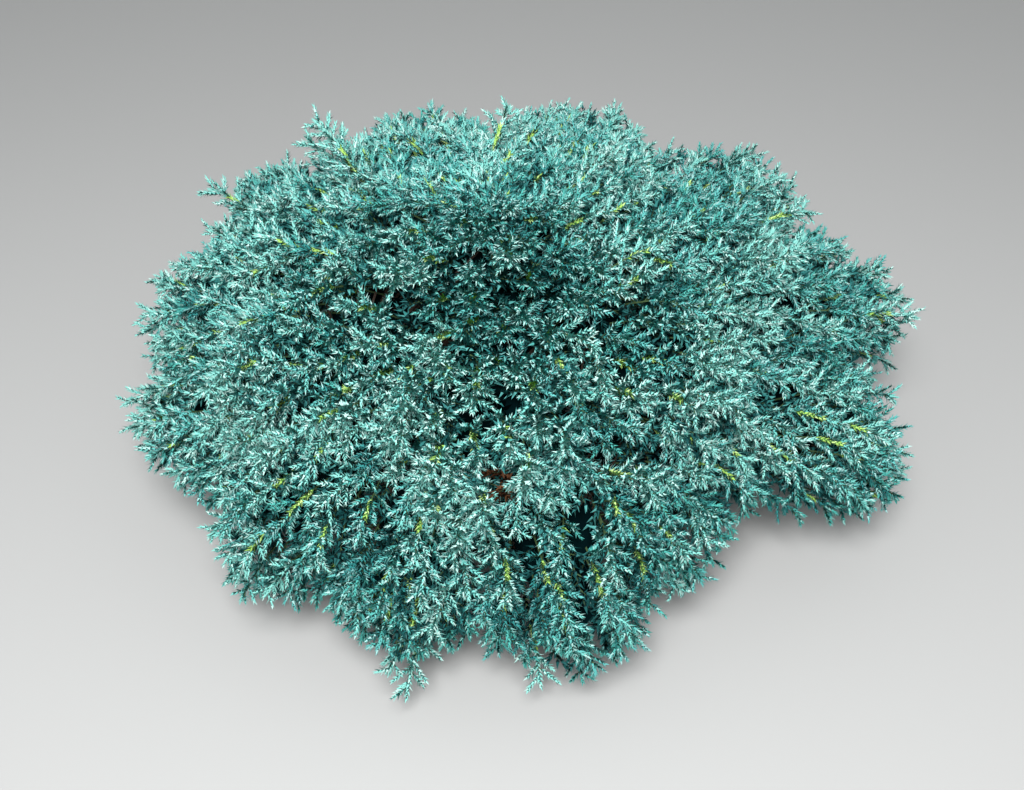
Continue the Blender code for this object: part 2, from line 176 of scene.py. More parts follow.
# Layers of sprays: outer ones that show, coarser ones under them, darker as painted shade, and
# near-black blades that close the heart, as painted shade. A layer has the spacing of its tips, its
# depth inside the envelopes, the number of places tried on each mass, the lowest normal a place may
# have, and how far out of every other mass it has to be.
Layer = namedtuple("Layer", "spacing depth places lowest_normal clear_of_others")
OUTER = Layer(spacing=0.0460, depth=0.0, places=1000, lowest_normal=-0.72, clear_of_others=0.78)
INNER = Layer(spacing=0.0485, depth=0.024, places=300, lowest_normal=-0.85, clear_of_others=0.72)
HEART = Layer(spacing=0.031, depth=0.052, places=240, lowest_normal=-0.70, clear_of_others=0.6)
LEAST_OUTWARD = -0.15  # of a place's normal along the way out from the crown's heart

# Sprays
LENGTH = 0.108
SIZE_SPREAD = 0.20
RISE = 0.31  # share of the surface's normal in a spray's direction, against the mass's own
OUTWARD = 0.15
FLOW_LIFT = 0.20
SWAY = 0.20
SWAY_SHARE = 0.6
OVERREACH = -0.026  # of a tip past its place, before lead, lump and tuck
LEAD = 0.026  # at the far end of a mass that lies
LUMPS = 0.015
LUMP_SIZE = 0.085
LUMP_JITTER = 0.35
SWELL_GAIN = 1.6
TUCK = 0.014  # taken off at the ground
TUCK_BELOW = 0.2
ROOM = 0.008  # how far shoots and needles may pass the solids' box
TIP_MARGIN = 0.004
TIP_LOW = box_low - ROOM + TIP_MARGIN
TIP_HIGH = box_high + [ROOM - TIP_MARGIN, ROOM - TIP_MARGIN, -TIP_MARGIN]
LYING_SPACING = 1.12  # of the layer's spacing
END_ON_SAVING = 0.44  # of it, for a spray that stands on the surface

# Tips of the longest leaders, which stand out of the outline
LEADING_LENGTH = 0.135
LEADING_FLOW = 0.6  # weight of the mass's own direction in theirs
LEADING_TONE = 1.0
LEADING_TIPS = (
    (-0.516, -0.02, 0.15),
    (-0.500, -0.06, 0.14),
    (-0.245, 0.22, 0.463),
    (-0.225, 0.18, 0.468),
    (-0.265, 0.20, 0.440),
    (0.025, 0.24, 0.472),
    (0.425, 0.25, 0.36),
    (0.462, 0.21, 0.32),
    (0.590, 0.05, 0.25),
    (-0.417, 0.26, 0.33),
    (-0.498, 0.10, 0.22),
    (-0.098, -0.44, 0.05),
    (0.062, -0.43, 0.06),
)

# Tone of a spray: the higher, the paler. Its place paints light and shade into it: paler on a lump or
# end-on, deeper low down, far out or high up
LUMP_PAINTED_LIGHT = 0.7
LOW_PAINTED_SHADE = 2.7
LOW_BELOW = 0.22
FAR_OUT_PAINTED_SHADE = 1.9
FAR_UNIT = 0.5
FAR_FROM = 0.45  # in those units
HIGH_UP_PAINTED_SHADE = 1.2
HIGH_UNIT = 0.1
HIGH_FROM = 3.8  # in those units
END_ON_PAINTED_LIGHT = 1.2
TONE_JITTER = 0.5

# Shoots: a leader and its side shoots make a spray
LEADER, SIDE = 0, 1
LEADER_RADIUS = 0.0011
SIDE_RADIUS = 0.0008
ARCH = 0.10
BOW_JITTER = 0.002
SIDE_SHOOTS = 12
INNER_SIDE_SHOOTS = 8
UPRIGHT_SHOOTS = 4  # more, for a spray that stands on the surface
UNDERSIDE = -0.3
UNDERSIDE_LOSS = 3  # fewer, for a normal lower than that
FIRST_SHOOT = 0.22  # share of the leader
SHOOTS_SPAN = 0.69
SHOOT_JITTER = 0.35

# The fan of side shoots over a lying spray, in half turns, and what makes it a full turn if the
# spray stands
FAN = 1.36
FAN_START = 0.18
FAN_UPRIGHT = 0.64
FAN_START_UPRIGHT = 0.32
FLATNESS = 0.40  # how much the side shoots of a lying spray gather to its two sides
SHOOT_LEAN = math.radians(47)
SHOOT_LEAN_JITTER = 0.13  # radians
SHOOT_LEAST = 0.015
SHOOT_MORE = 0.018
SHOOT_TAPER = 0.6
SHOOT_SPREAD = (0.75, 1.15)
UNDER_SHOOT_LOSS = 0.3

# Needles, in whorls
LEAVES = 3
WHORL_STEP = 0.0026
INNER_WHORL_STEP = 0.0066
LEAST_WHORLS = 3
WHORL_OFFSET = 0.7  # of a step, before the first whorl
LEADER_BARE = 0.34  # share of a leader below its first needles
SIDE_BARE = 0.06
NEEDLE_LENGTH = 0.0102
NEEDLE_WIDTH = 0.0031
INNER_NEEDLE_SCALE = 1.55
NEEDLE_SPREAD = (0.86, 1.10)
NEEDLE_LEAN = 39  # degrees from the shoot
NEEDLE_CLOSING = 20  # degrees less at the shoot's tip
LEAN_JITTER = 0.10  # radians
TURN_JITTER = 0.22  # radians
TIP_REACH = 0.009  # from a shoot's tip, within which its needles close and shrink
TIP_LOSS = 0.22
FOOT_SIZE = 0.75  # of a needle at a shoot's foot, against those further up
WIDEST = 0.30  # share of a needle's length
KEEL = 0.5  # share of its half width
ROUND = 0.5  # how far the normals at its edges turn aside
FACING_OUT, FACING_SPRAY = 0.6, 0.7  # weights of its way out and of its spray's normal
FRONT_FACING, FRONT_INNER = 0.6, 0.4  # weights of those together and of its inner side
WAXY_INSIDE = 0.54  # share that is waxy of needles with their inner side out
WAXY_OUTSIDE = 0.25  # and of the others
NEEDLES_IN_PIECE = 95000

# Needle colours: wax, green and foot of each tone; the dark foot is painted shade where the needle
# meets its shoot. Sprays share the first five from pale to deep, and lime is for the lower part of
# some leaders.
NEEDLE_PARTS = ("wax", "green", "foot")
WAX, GREEN, SHADED_FOOT = range(len(NEEDLE_PARTS))
TONES = {
    "frost": ((0.44, 0.67, 0.62), (0.22, 0.56, 0.50), (0.009, 0.105, 0.100)),
    "silver": ((0.37, 0.61, 0.57), (0.155, 0.49, 0.44), (0.007, 0.085, 0.083)),
    "blue": ((0.30, 0.54, 0.52), (0.105, 0.41, 0.385), (0.005, 0.066, 0.066)),
    "teal": ((0.235, 0.49, 0.45), (0.068, 0.35, 0.31), (0.004, 0.055, 0.052)),
    "deep": ((0.130, 0.325, 0.315), (0.028, 0.200, 0.195), (0.003, 0.032, 0.034)),
    "lime": ((0.50, 0.69, 0.25), (0.33, 0.55, 0.12), (0.07, 0.20, 0.04)),
}
LIME = list(TONES).index("lime")
SHARES = np.array([0.20, 0.24, 0.20, 0.19, 0.17])
SPRAY_ROOT_SHADE_TO = 0.50  # share of its spray below which a needle is a tone deeper, as painted shade
SPRAY_TIP_LIGHT_FROM = 0.84  # and above which it is a tone paler, as painted light
SHOOT_FOOT_SHADE_TO = 0.34  # share of a side shoot below which it is a tone deeper, as painted shade
LIMY_SPRAYS = 0.5
LIMY_TO = 0.66
# Inner needles, darkened as painted shade inside the crown: shade, and a deeper shade for sprays that
# end low down; rust is dead needles
INNER_TONES = {
    "shade": ((0.070, 0.270, 0.255), (0.026, 0.155, 0.150), (0.002, 0.022, 0.023)),
    "deep_shade": ((0.025, 0.130, 0.130), (0.009, 0.072, 0.072), (0.001, 0.014, 0.016)),
    "rust": ((0.14, 0.060, 0.025), (0.08, 0.032, 0.015), (0.02, 0.010, 0.006)),
}
DEEP_SHADE = list(INNER_TONES).index("deep_shade")
INNER_SHARES = (0.7, 0.29, 0.01)
DEEP_SHADE_BELOW = 0.20
DEEP_SHADE_JITTER = 0.03

# Heart of each mass: toothed blades and a rough ball, near-black as painted shade in the dense inside
HEART_SHADE_COLOUR = (0.001, 0.006, 0.007)
BLADE_LENGTH = 0.10
BLADE_SETBACK = 0.09
BLADE_LYING = 0.8  # how much of the normal is taken out of its direction
BALL_DEPTH = 0.077
BALL_ROUGHNESS = 0.10
BALL_SWELLS = 2.3
BALL_KNOBS = 7

# A blade's form, in shares of its length
BLADE_ROOT = (0.04, 0.05)
BLADE_TIP = (1.0, 0.0)
BLADE_TEETH = 4  # on each side
FIRST_TOOTH = 0.06
TOOTH_STEP = 0.20
TOOTH_LENGTH = 0.40
TOOTH_LOSS = 0.065
TOOTH_LEAN = 0.75  # radians
BLADE_WEB = 0.07
BLADE_CREST = 0.40
BLADE_HALF_THICKNESS = 0.02
BLADE_DROOP = 0.15

# Twigs
TWIG_GREEN = (0.05, 0.085, 0.035)
TWIG_BROWN = (0.034, 0.023, 0.017)
TWIG_SIDES = 3
LEADER_TAPER = np.array([1.3, 1.0, 0.8, 0.35])
STEM_SHARE = 0.7
TWIG_SETBACK = 0.045
TWIG_SAG = 0.012
TWIG_RADII = np.array([0.0030, 0.0025, 0.0020, 0.0013])

# Floor, light and camera
FLOOR_COLOUR = (0.42, 0.42, 0.415)
FLOOR_MIDDLE = 1.5
FLOOR_FLAT = 2.6
FLOOR_BEND = 3.4
FLOOR_BEND_POINTS = 17
WALL_TOP = (6.0, 4.4)  # radius and height
FLOOR_STEPS = 64
FLOOR_WELD = 1e-4
LIT_SPOT = (0, 0, 0.25)
SKY_COLOUR = (0.94, 0.98, 1.0, 1)
SKY_STRENGTH = 0.58
TARGET = Vector((0.028, -0.14, 0.27))
DISTANCE = 1.62
ELEVATION = math.radians(40)
FOCAL_LENGTH_MM = 45
SENSOR_WIDTH_MM = 36

Mass = namedtuple("Mass", "name tier centre axis side up half azimuth fork_height")
Spray = namedtuple("Spray", "mass root tip normal length tone")
Shoot = namedtuple("Shoot", "start end bow spray kind radius")
Needles = namedtuple("Needles", "base way inner size shoot along out")


# Layout of the masses


def unit(v):
    """The vector, or each of the vectors, at a length of 1."""
    v = np.asarray(v, float)
    return v / np.maximum(np.linalg.norm(v, axis=-1, keepdims=True), TINY)


def radial(azimuth):
    """The level way out at an azimuth."""
    return np.array([math.cos(azimuth), math.sin(azimuth), 0.0])


def lay_out_masses():
    """Every mass of the crown, tier by tier."""
    masses = []
    for tier in TIERS:
        for i, (reach, tip_height) in enumerate(tier.tips):
            azimuth = math.radians(tier.first_azimuth + 360 * i / len(tier.tips))
            out = radial(azimuth)
            inner = out * tier.inner_radius + UP * tier.inner_height
            tip = out * reach + UP * tip_height
            axis = unit(tip - inner)
            side = np.array([-math.sin(azimuth), math.cos(azimuth), 0.0])
            up = np.cross(axis, side)
            up = up if up[2] >= 0 else -up
            name = f"foliage_{tier.name}" + ("" if len(tier.tips) == 1 else f"_{i + 1:02d}")
            half = np.array([np.linalg.norm(tip - inner) / 2, tier.half_width, tier.half_depth])
            fork = tier.fork_height + FORK_STAGGER * (i % 2) * (tier is SKIRT)
            masses.append(Mass(name, tier, (inner + tip) / 2, axis, side, up, half, azimuth, fork))
    return masses


def on_envelope(mass, direction, depth):
    """The place that far inside a mass's envelope, in a direction of the mass's own axes."""
    full = direction / (np.abs(direction) ** FULLNESS).sum() ** (1 / FULLNESS)
    scaled = full * (mass.half - depth)
    return mass.centre + mass.axis * scaled[0] + mass.side * scaled[1] + mass.up * scaled[2]


def within_each(masses, points):
    """How far out each point is in each mass: 1 on its envelope."""
    shares = []
    for mass in masses:
        away = points - mass.centre
        parts = np.abs(np.stack([away @ mass.axis, away @ mass.side, away @ mass.up], 1)) / mass.half
        shares.append((parts**FULLNESS).sum(1) ** (1 / FULLNESS))
    return np.stack(shares, 1)


def melded(masses, points):
    """How far out each point is in the whole crown, whose masses run together in their valleys."""
    return (np.maximum(within_each(masses, points), LEAST_SHARE) ** -MELD).sum(1) ** (-1 / MELD)


def way_out(masses, points):
    """The outward normals of the melded crown."""
    slopes = []
    for axis in np.eye(3):
        ahead, behind = points + SLOPE_STEP * axis, points - SLOPE_STEP * axis
        slopes.append(melded(masses, ahead) - melded(masses, behind))
    return unit(np.stack(slopes, 1))


def push_out(masses, points, outward, level):
    """Moves points out until the melded crown's level there is the given one, by halving."""
    near, far = np.zeros(len(points)), np.full(len(points), PUSH_LIMIT)
    for _ in range(PUSH_HALVINGS):
        middle = (near + far) / 2
        inside = melded(masses, points + outward * middle[:, None]) < level
        near, far = np.where(inside, middle, near), np.where(inside, far, middle)
    return points + outward * near[:, None]


# Sprays


def swell(point, size):
    """Slow noise through space, from about -1 to 1."""
    return SWELL_GAIN * noise.noise(Vector(point) / size)


def leading_sprays(masses):
    """Longer sprays that end at the leading tips."""
    sprays = []
    for place in LEADING_TIPS:
        tip = np.array(place)
        mass = masses[int(np.argmin(within_each(masses, tip[None])[0]))]
        outward = unit(tip - CROWN_HEART)
        root = tip - unit(outward + mass.axis * LEADING_FLOW) * LEADING_LENGTH
        sprays.append(Spray(mass, root, tip, unit(outward + UP), LEADING_LENGTH, LEADING_TONE))
    return sprays


def places_round(masses, layer):
    """Places on every mass by the golden angle, with the mass's number and the share along it."""
    spots, owners, alongs = [], [], []
    for m, mass in enumerate(masses):
        for k in range(layer.places):
            along = 1 - 2 * (k + 0.5) / layer.places
            angle = k * GOLDEN_ANGLE + m
            ring = math.sqrt(1 - along * along)
            direction = np.array([along, ring * math.cos(angle), ring * math.sin(angle)])
            spots.append(on_envelope(mass, direction, layer.depth))
            owners.append(m)
            alongs.append(along)
    return np.array(spots), np.array(owners), np.array(alongs)


def open_places(masses, layer):
    """Places clear of the other masses: for each, its mass, share along it, spot, normal, way out."""
    spots, owners, alongs = places_round(masses, layer)
    rows = np.arange(len(spots))
    shares = within_each(masses, spots)
    own = shares[rows, owners]
    shares[rows, owners] = np.inf
    free = shares.min(1) > layer.clear_of_others
    spots, owners, alongs, own = spots[free], owners[free], alongs[free], own[free]
    outward = unit(spots - CROWN_HEART)
    spots = push_out(masses, spots, outward, own)
    normals = way_out(masses, spots)
    keep = (normals[:, 2] > layer.lowest_normal) & ((normals * outward).sum(1) > LEAST_OUTWARD)
    mass_of = [masses[m] for m in owners[keep]]
    return list(zip(mass_of, alongs[keep], spots[keep], normals[keep], outward[keep]))


def painted_light_and_shade(spot, lump, end_on):
    """Painted light and shade: paler on a lump or seen end-on, and deeper low down, far out or high
    up.
    """
    low_down = max(0.0, 1 - spot[2] / LOW_BELOW)
    far_out = max(0.0, math.hypot(spot[0], spot[1]) / FAR_UNIT - FAR_FROM)
    high_up = max(0.0, spot[2] / HIGH_UNIT - HIGH_FROM)
    tone = lump / LUMPS * LUMP_PAINTED_LIGHT - LOW_PAINTED_SHADE * low_down - FAR_OUT_PAINTED_SHADE * far_out
    return tone - HIGH_UP_PAINTED_SHADE * high_up + END_ON_PAINTED_LIGHT * end_on


def lay_out_sprays(masses, layer, leading=()):
    """Sprays all over the crown; a tip keeps its spacing from the others, by its size."""
    candidates = open_places(masses, layer)
    sprays = list(leading)
    tips = np.array([spray.tip for spray in sprays]).reshape(-1, 3)
    rooms = np.full(len(sprays), layer.spacing)
    for pick in rng.permutation(len(candidates)):
        mass, along, spot, normal, out = candidates[pick]
        level = unit(np.array([spot[0], spot[1], 0.0]))
        flow = level if mass.tier is TOP else unit(mass.axis + UP * FLOW_LIFT)
        sway = rng.normal(0, SWAY, 3)
        size = 1 + rng.uniform(-1, 1) * SIZE_SPREAD
        grow = unit(normal * RISE + flow * (1 - RISE) + out * OUTWARD + sway * SWAY_SHARE)
        lead = LEAD * max(0, along) ** 3 * (1 - mass.axis[2])
        lump = LUMPS * (swell(spot, LUMP_SIZE) + rng.normal(0, LUMP_JITTER))
        tuck = TUCK * max(0.0, 1 - spot[2] / TUCK_BELOW)
        tip = np.clip(spot + grow * (OVERREACH + lead + lump - tuck), TIP_LOW, TIP_HIGH)
        end_on = max(0.0, grow @ normal)
        room = layer.spacing * size * (LYING_SPACING - END_ON_SAVING * end_on)
        if len(tips) and np.any(((tips - tip) ** 2).sum(1) < (rooms * 0.5 + room * 0.5) ** 2):
            continue
        tips, rooms = np.vstack([tips, tip]), np.append(rooms, room)
        length = LENGTH * size
        # painted light and shade by the spray's place, and a random tone
        tone = painted_light_and_shade(spot, lump, end_on) + rng.normal(0, TONE_JITTER)
        sprays.append(Spray(mass, tip - grow * length, tip, normal, length, tone))
    return sprays


# Shoots and needles


def curve_at(start, end, bow, t):
    """A point and direction on shoots that bow away from a straight line by 4 t (1 - t)."""
    t = np.asarray(t)[..., None]
    point = start + (end - start) * t + bow * 4 * t * (1 - t)
    direction = unit((end - start) + bow * 4 * (1 - 2 * t))
    return point, direction


def across_of(direction):
    """Two unit vectors across each direction."""
    away = np.cross(direction, UP)
    away[np.linalg.norm(away, axis=1) < NEARLY_UPRIGHT] = [1.0, 0.0, 0.0]
    away = unit(away)
    return away, np.cross(direction, away)


def grow_spray(index, spray, side_shoots):
    """The leader and the side shoots of one spray."""
    bow = unit(spray.normal + UP) * spray.length * ARCH + rng.normal(0, BOW_JITTER, 3)
    shoots = [Shoot(spray.root, spray.tip, bow, index, LEADER, LEADER_RADIUS)]
    turn = rng.random()
    upright = max(0.0, unit(spray.tip - spray.root) @ spray.normal)
    side_shoots += round(UPRIGHT_SHOOTS * upright)
    side_shoots -= UNDERSIDE_LOSS if spray.normal[2] < UNDERSIDE else 0
    for j in range(side_shoots):
        place = j + rng.uniform(-SHOOT_JITTER, SHOOT_JITTER)
        t = FIRST_SHOOT + SHOOTS_SPAN * place / (side_shoots - 1)
        point, direction = curve_at(spray.root, spray.tip, bow, t)
        across = unit(np.cross(spray.normal, direction))
        face = np.cross(direction, across)
        share = (turn + j * GOLDEN_SHARE) % 1
        fan = FAN + FAN_UPRIGHT * upright
        angle = math.pi * (fan * share - FAN_START - FAN_START_UPRIGHT * upright)
        angle -= FLATNESS * (1 - upright) * math.sin(2 * angle)
        out = unit(across * math.cos(angle) + face * math.sin(angle))
        lean = SHOOT_LEAN + rng.normal(0, SHOOT_LEAN_JITTER)
        way = direction * math.cos(lean) + out * math.sin(lean)
        reach = SHOOT_MORE * (1 - t) ** SHOOT_TAPER + SHOOT_LEAST
        reach = reach * rng.uniform(*SHOOT_SPREAD) * spray.length / LENGTH
        reach *= 1 - UNDER_SHOOT_LOSS * max(0.0, -out @ spray.normal)
        shoots.append(Shoot(point, point + way * reach, np.zeros(3), index, SIDE, SIDE_RADIUS))
    return shoots


def needles_on(shoots, step):
    """Every needle: its base, way, inner side, size, shoot, share along the shoot, and way out."""
    lengths = np.linalg.norm(shoots.end - shoots.start, axis=1)
    first = np.where(shoots.kind == LEADER, LEADER_BARE, SIDE_BARE)
    counts = np.maximum(LEAST_WHORLS, ((1 - first) * lengths / step).astype(int))
    owner = np.repeat(np.arange(len(lengths)), counts)
    rank = np.arange(len(owner)) - np.repeat(np.cumsum(counts) - counts, counts)
    t = first[owner] + (1 - first[owner]) * (rank + WHORL_OFFSET) / counts[owner]
    point, direction = curve_at(shoots.start[owner], shoots.end[owner], shoots.bow[owner], t)
    away, other = across_of(direction)
    whorls = len(owner)
    turn = np.repeat(rng.uniform(0, math.tau, len(lengths)), counts) + rank * math.pi / LEAVES
    to_tip = (1 - t) * lengths[owner]
    near_tip = np.clip(1 - to_tip / TIP_REACH, 0, 1)
    parts = []
    for leaf in range(LEAVES):
        angle = turn + leaf * math.tau / LEAVES + rng.normal(0, TURN_JITTER, whorls)
        out = away * np.cos(angle)[:, None] + other * np.sin(angle)[:, None]
        lean = np.radians(NEEDLE_LEAN - NEEDLE_CLOSING * near_tip)
        lean = lean + rng.normal(0, LEAN_JITTER, whorls)
        way = direction * np.cos(lean)[:, None] + out * np.sin(lean)[:, None]
        inner = direction * np.sin(lean)[:, None] - out * np.cos(lean)[:, None]
        size = (1 - TIP_LOSS * near_tip) * rng.uniform(*NEEDLE_SPREAD, whorls)
        size *= np.clip(FOOT_SIZE + t, FOOT_SIZE, 1.0)
        parts.append(Needles(point, way, inner, size, owner, t, out))
    return Needles(*[np.concatenate(column) for column in zip(*parts)])


def within_box(points):
    """Whether each point is inside the solids' box, or no further than ROOM outside it."""
    return np.all((points > box_low - ROOM) & (points < box_high + ROOM), axis=-1)


def grow_layer(sprays, side_shoots, step, needle_scale=1.0):
    """The shoots and the needles of a layer of sprays, without those that leave the box."""
    shoots = []
    for index, spray in enumerate(sprays):
        shoots += grow_spray(index, spray, side_shoots)
    kept = [shoot for shoot in shoots if within_box(shoot.end)]
    shoots = Shoot(*[np.array(column) for column in zip(*kept)])
    needles = needles_on(shoots, step)
    needles = needles._replace(size=needles.size * needle_scale)
    tips = needles.base + needles.way * (NEEDLE_LENGTH * needles.size)[:, None]
    inside = within_box(tips)
    return shoots, Needles(*[column[inside] for column in needles])


def outer_tones(sprays, shoots, needles):
    """The tone of each outer needle, by its spray and its places along the spray and the shoot:
    painted shade near the spray's root and the shoot's foot, painted light near the spray's tip.
    """
    spray_of, kind_of = shoots.spray[needles.shoot], shoots.kind[needles.shoot]
    rank = np.argsort(np.argsort([-spray.tone for spray in sprays])) / len(sprays)
    tone_of_spray = np.searchsorted(np.cumsum(SHARES)[:-1], rank)
    root_of = np.array([spray.root for spray in sprays])[spray_of]
    run_of = np.array([spray.tip - spray.root for spray in sprays])[spray_of]
    along_spray = ((needles.base - root_of) * run_of).sum(1) / (run_of**2).sum(1)
    at_foot = (kind_of == SIDE) & (needles.along < SHOOT_FOOT_SHADE_TO)
    # a tone deeper near the spray's root and the shoot's foot as painted shade, a tone paler near its
    # tip as painted light
    tone = tone_of_spray[spray_of] + (along_spray < SPRAY_ROOT_SHADE_TO) - (along_spray > SPRAY_TIP_LIGHT_FROM) + at_foot
    tone = np.clip(tone, 0, len(SHARES) - 1)
    limy = rng.random(len(sprays)) < LIMY_SPRAYS
    tone[(kind_of == LEADER) & (needles.along < LIMY_TO) & limy[spray_of]] = LIME
    return tone


def inner_tones(sprays, shoots, needles):
    """The tone of each inner needle, by its spray, darkened as painted shade: deepest if that ends low
    down.
    """
    tone = rng.choice(len(INNER_TONES), len(sprays), p=INNER_SHARES)
    heights = np.array([spray.tip[2] for spray in sprays])
    tone[heights + rng.normal(0, DEEP_SHADE_JITTER, len(sprays)) < DEEP_SHADE_BELOW] = DEEP_SHADE
    return tone[shoots.spray[needles.shoot]]


def needle_mesh(name, needles, facing, slots):
    """Each needle is a keeled awl, dark at its foot as painted shade, shaded as a round one that faces
    outward.
    """
    base, way, inner = needles.base, needles.way, needles.inner
    turned = np.where((inner * facing).sum(1) < 0, -1.0, 1.0)[:, None]
    across = np.cross(way, inner) * turned
    half = NEEDLE_WIDTH * 0.5 * needles.size[:, None]
    length = (NEEDLE_LENGTH * needles.size)[:, None]
    middle = base + way * length * WIDEST + inner * half * KEEL
    left, right = middle + across * half, middle - across * half
    corners = np.stack([base, left, right, base + way * length], 1)
    count = len(base)
    faces = np.array([[0, 1, 2], [1, 3, 2]])
    index = (np.arange(count)[:, None, None] * 4 + faces[None]).reshape(-1, 3)
    waxy = np.where(turned[:, 0] > 0, WAXY_INSIDE, WAXY_OUTSIDE)
    blade = np.where(rng.random(count) < waxy, WAX, GREEN)
    # the lower triangle of each needle takes the foot's painted shade, the upper one wax or green
    slot_of = np.stack([np.full(count, SHADED_FOOT), blade], 1).ravel()
    made = mesh_object(name, corners.reshape(-1, 3), index, slots, slot_of, smooth=True)
    front = unit(facing * FRONT_FACING + inner * turned * FRONT_INNER)
    normals = np.stack([front, unit(front + across * ROUND), unit(front - across * ROUND), front], 1)
    made.data.normals_split_custom_set_from_vertices(normals.reshape(-1, 3))
    return made


def deal(label, tones, sprays, shoots, needles, tone_of_needle):
    """One piece, or more, of needles for each tone."""
    normal = np.array([spray.normal for spray in sprays])[shoots.spray[needles.shoot]]
    facing = unit(needles.out * FACING_OUT + normal * FACING_SPRAY)
    made = []
    for i, (tone, colours) in enumerate(tones.items()):
        slots = [plain(f"{label}_{tone}_{part}", c) for part, c in zip(NEEDLE_PARTS, colours)]
        chosen = np.nonzero(tone_of_needle == i)[0]
        lots = np.array_split(chosen, max(1, math.ceil(len(chosen) / NEEDLES_IN_PIECE)))
        for number, some in enumerate(lots, 1):
            if len(some):
                lot = Needles(*[column[some] for column in needles])
                made.append(needle_mesh(f"{label}_{tone}_{number}", lot, facing[some], slots))
    return made


# Meshes


def mesh_object(name, vertices, triangles, slots, slot_of=None, smooth=False):
    """An object of triangles in the scene, with its materials."""
    mesh = bpy.data.meshes.new(name)
    mesh.vertices.add(len(vertices))
    mesh.vertices.foreach_set("co", np.asarray(vertices, np.float32).ravel())
    mesh.loops.add(triangles.size)
    mesh.loops.foreach_set("vertex_index", triangles.astype(np.int32).ravel())
    mesh.polygons.add(len(triangles))
    mesh.polygons.foreach_set("loop_start", np.arange(len(triangles), dtype=np.int32) * 3)
    if slot_of is not None:
        mesh.polygons.foreach_set("material_index", np.asarray(slot_of, np.int32))
    for slot in slots:
        mesh.materials.append(slot)
    mesh.update(calc_edges=True)
    if smooth:
        mesh.shade_smooth()
    else:
        mesh.shade_flat()
    made = bpy.data.objects.new(name, mesh)
    bpy.context.scene.collection.objects.link(made)
    return made


def join(*parts):
    """One array of vertices and one of faces, from several of each."""
    vertices, faces, base = [], [], 0
    for some_vertices, some_faces in parts:
        vertices.append(some_vertices)
        faces.append(some_faces + base)
        base += len(some_vertices)
    return np.vstack(vertices), np.vstack(faces)


def tubes(paths, radii, sides):
    """Closed tubes along many paths of equal point count: (tubes, points, 3) and (tubes, points)."""
    count, points, _ = paths.shape
    tangent = unit(np.gradient(paths, axis=1))
    steep = np.abs(tangent[..., 2:3]) > STEEP
    across = unit(np.cross(tangent, np.where(steep, [[[1.0, 0, 0]]], [[[0, 0, 1.0]]])))
    other = np.cross(tangent, across)
    angles = np.arange(sides) * math.tau / sides
    ring = (
        paths[:, :, None]
        + across[:, :, None] * (radii[..., None] * np.cos(angles))[..., None]
        + other[:, :, None] * (radii[..., None] * np.sin(angles))[..., None]
    )
    ends = np.stack([paths[:, 0], paths[:, -1]], 1)
    vertices = np.concatenate([ring.reshape(count, points * sides, 3), ends], 1)
    faces = []
    for i in range(points - 1):
        for j in range(sides):
            here, beside = i * sides + j, i * sides + (j + 1) % sides
            above, above_beside = here + sides, beside + sides
            faces += [[here, beside, above_beside], [here, above_beside, above]]
    foot, head = points * sides, points * sides + 1
    last = (points - 1) * sides
    for j in range(sides):
        k = (j + 1) % sides
        faces += [[foot, k, j], [head, last + j, last + k]]
    faces = np.array(faces)
    index = (np.arange(count)[:, None, None] * (points * sides + 2) + faces[None]).reshape(-1, 3)
    return vertices.reshape(-1, 3), index


# Heart of each mass


def blade_outline():
    """A blade's rim, from its tip down one side and up the other, in shares of its length."""
    side = [BLADE_ROOT]
    for i in range(BLADE_TEETH):
        foot = FIRST_TOOTH + TOOTH_STEP * i
        length = TOOTH_LENGTH - TOOTH_LOSS * i
        side.append((foot + length * math.cos(TOOTH_LEAN), length * math.sin(TOOTH_LEAN)))
        side.append((foot + TOOTH_STEP, BLADE_WEB))
    rim = [BLADE_TIP] + side[::-1] + [(x, -y) for x, y in side]
    return np.array([(x, y, 0.0) for x, y in rim])


def heart_blades(sprays):
    """A thin drooping blade for each spray: two low cones that share a toothed rim."""
    rim = blade_outline()
    crests = [[BLADE_CREST, 0, BLADE_HALF_THICKNESS], [BLADE_CREST, 0, -BLADE_HALF_THICKNESS]]
    shape = np.vstack([rim, crests])
    shape[:, 2] -= BLADE_DROOP * shape[:, 0] ** 2
    here = np.arange(len(rim))
    after = (here + 1) % len(rim)
    over, under = np.full(len(rim), len(rim)), np.full(len(rim), len(rim) + 1)
    faces = np.vstack([np.stack([here, after, over], 1), np.stack([after, here, under], 1)])
    blades = []
    for spray in sprays:
        way = unit(spray.tip - spray.root)
        root = spray.tip - way * BLADE_SETBACK
        grow = unit(way - spray.normal * (way @ spray.normal) * BLADE_LYING)
        across = unit(np.cross(spray.normal, grow))
        face = np.cross(grow, across)
        placed = shape[:, :1] * grow + shape[:, 1:2] * across + shape[:, 2:] * face
        blades.append((root + BLADE_LENGTH * placed, faces))
    return join(*blades)


def heart_ball(mass, seed):
    """The dense heart of a mass, a rough ball well inside its needles."""
    shape = bmesh.new()
    bmesh.ops.create_icosphere(shape, subdivisions=2, radius=1.0)
    for vertex in shape.verts:
        spot = on_envelope(mass, np.array(vertex.co.normalized()), BALL_DEPTH)
        bump = BALL_ROUGHNESS * noise.noise(vertex.co * BALL_SWELLS + Vector((seed, 0, 0)))
        bump += BALL_ROUGHNESS * noise.noise(vertex.co * BALL_KNOBS)
        vertex.co = mass.centre + (spot - mass.centre) * (1 + bump)
    vertices = np.array([v.co for v in shape.verts])
    triangles = np.array([[v.index for v in f.verts] for f in shape.faces])
    shape.free()
    return vertices, triangles


# Twigs


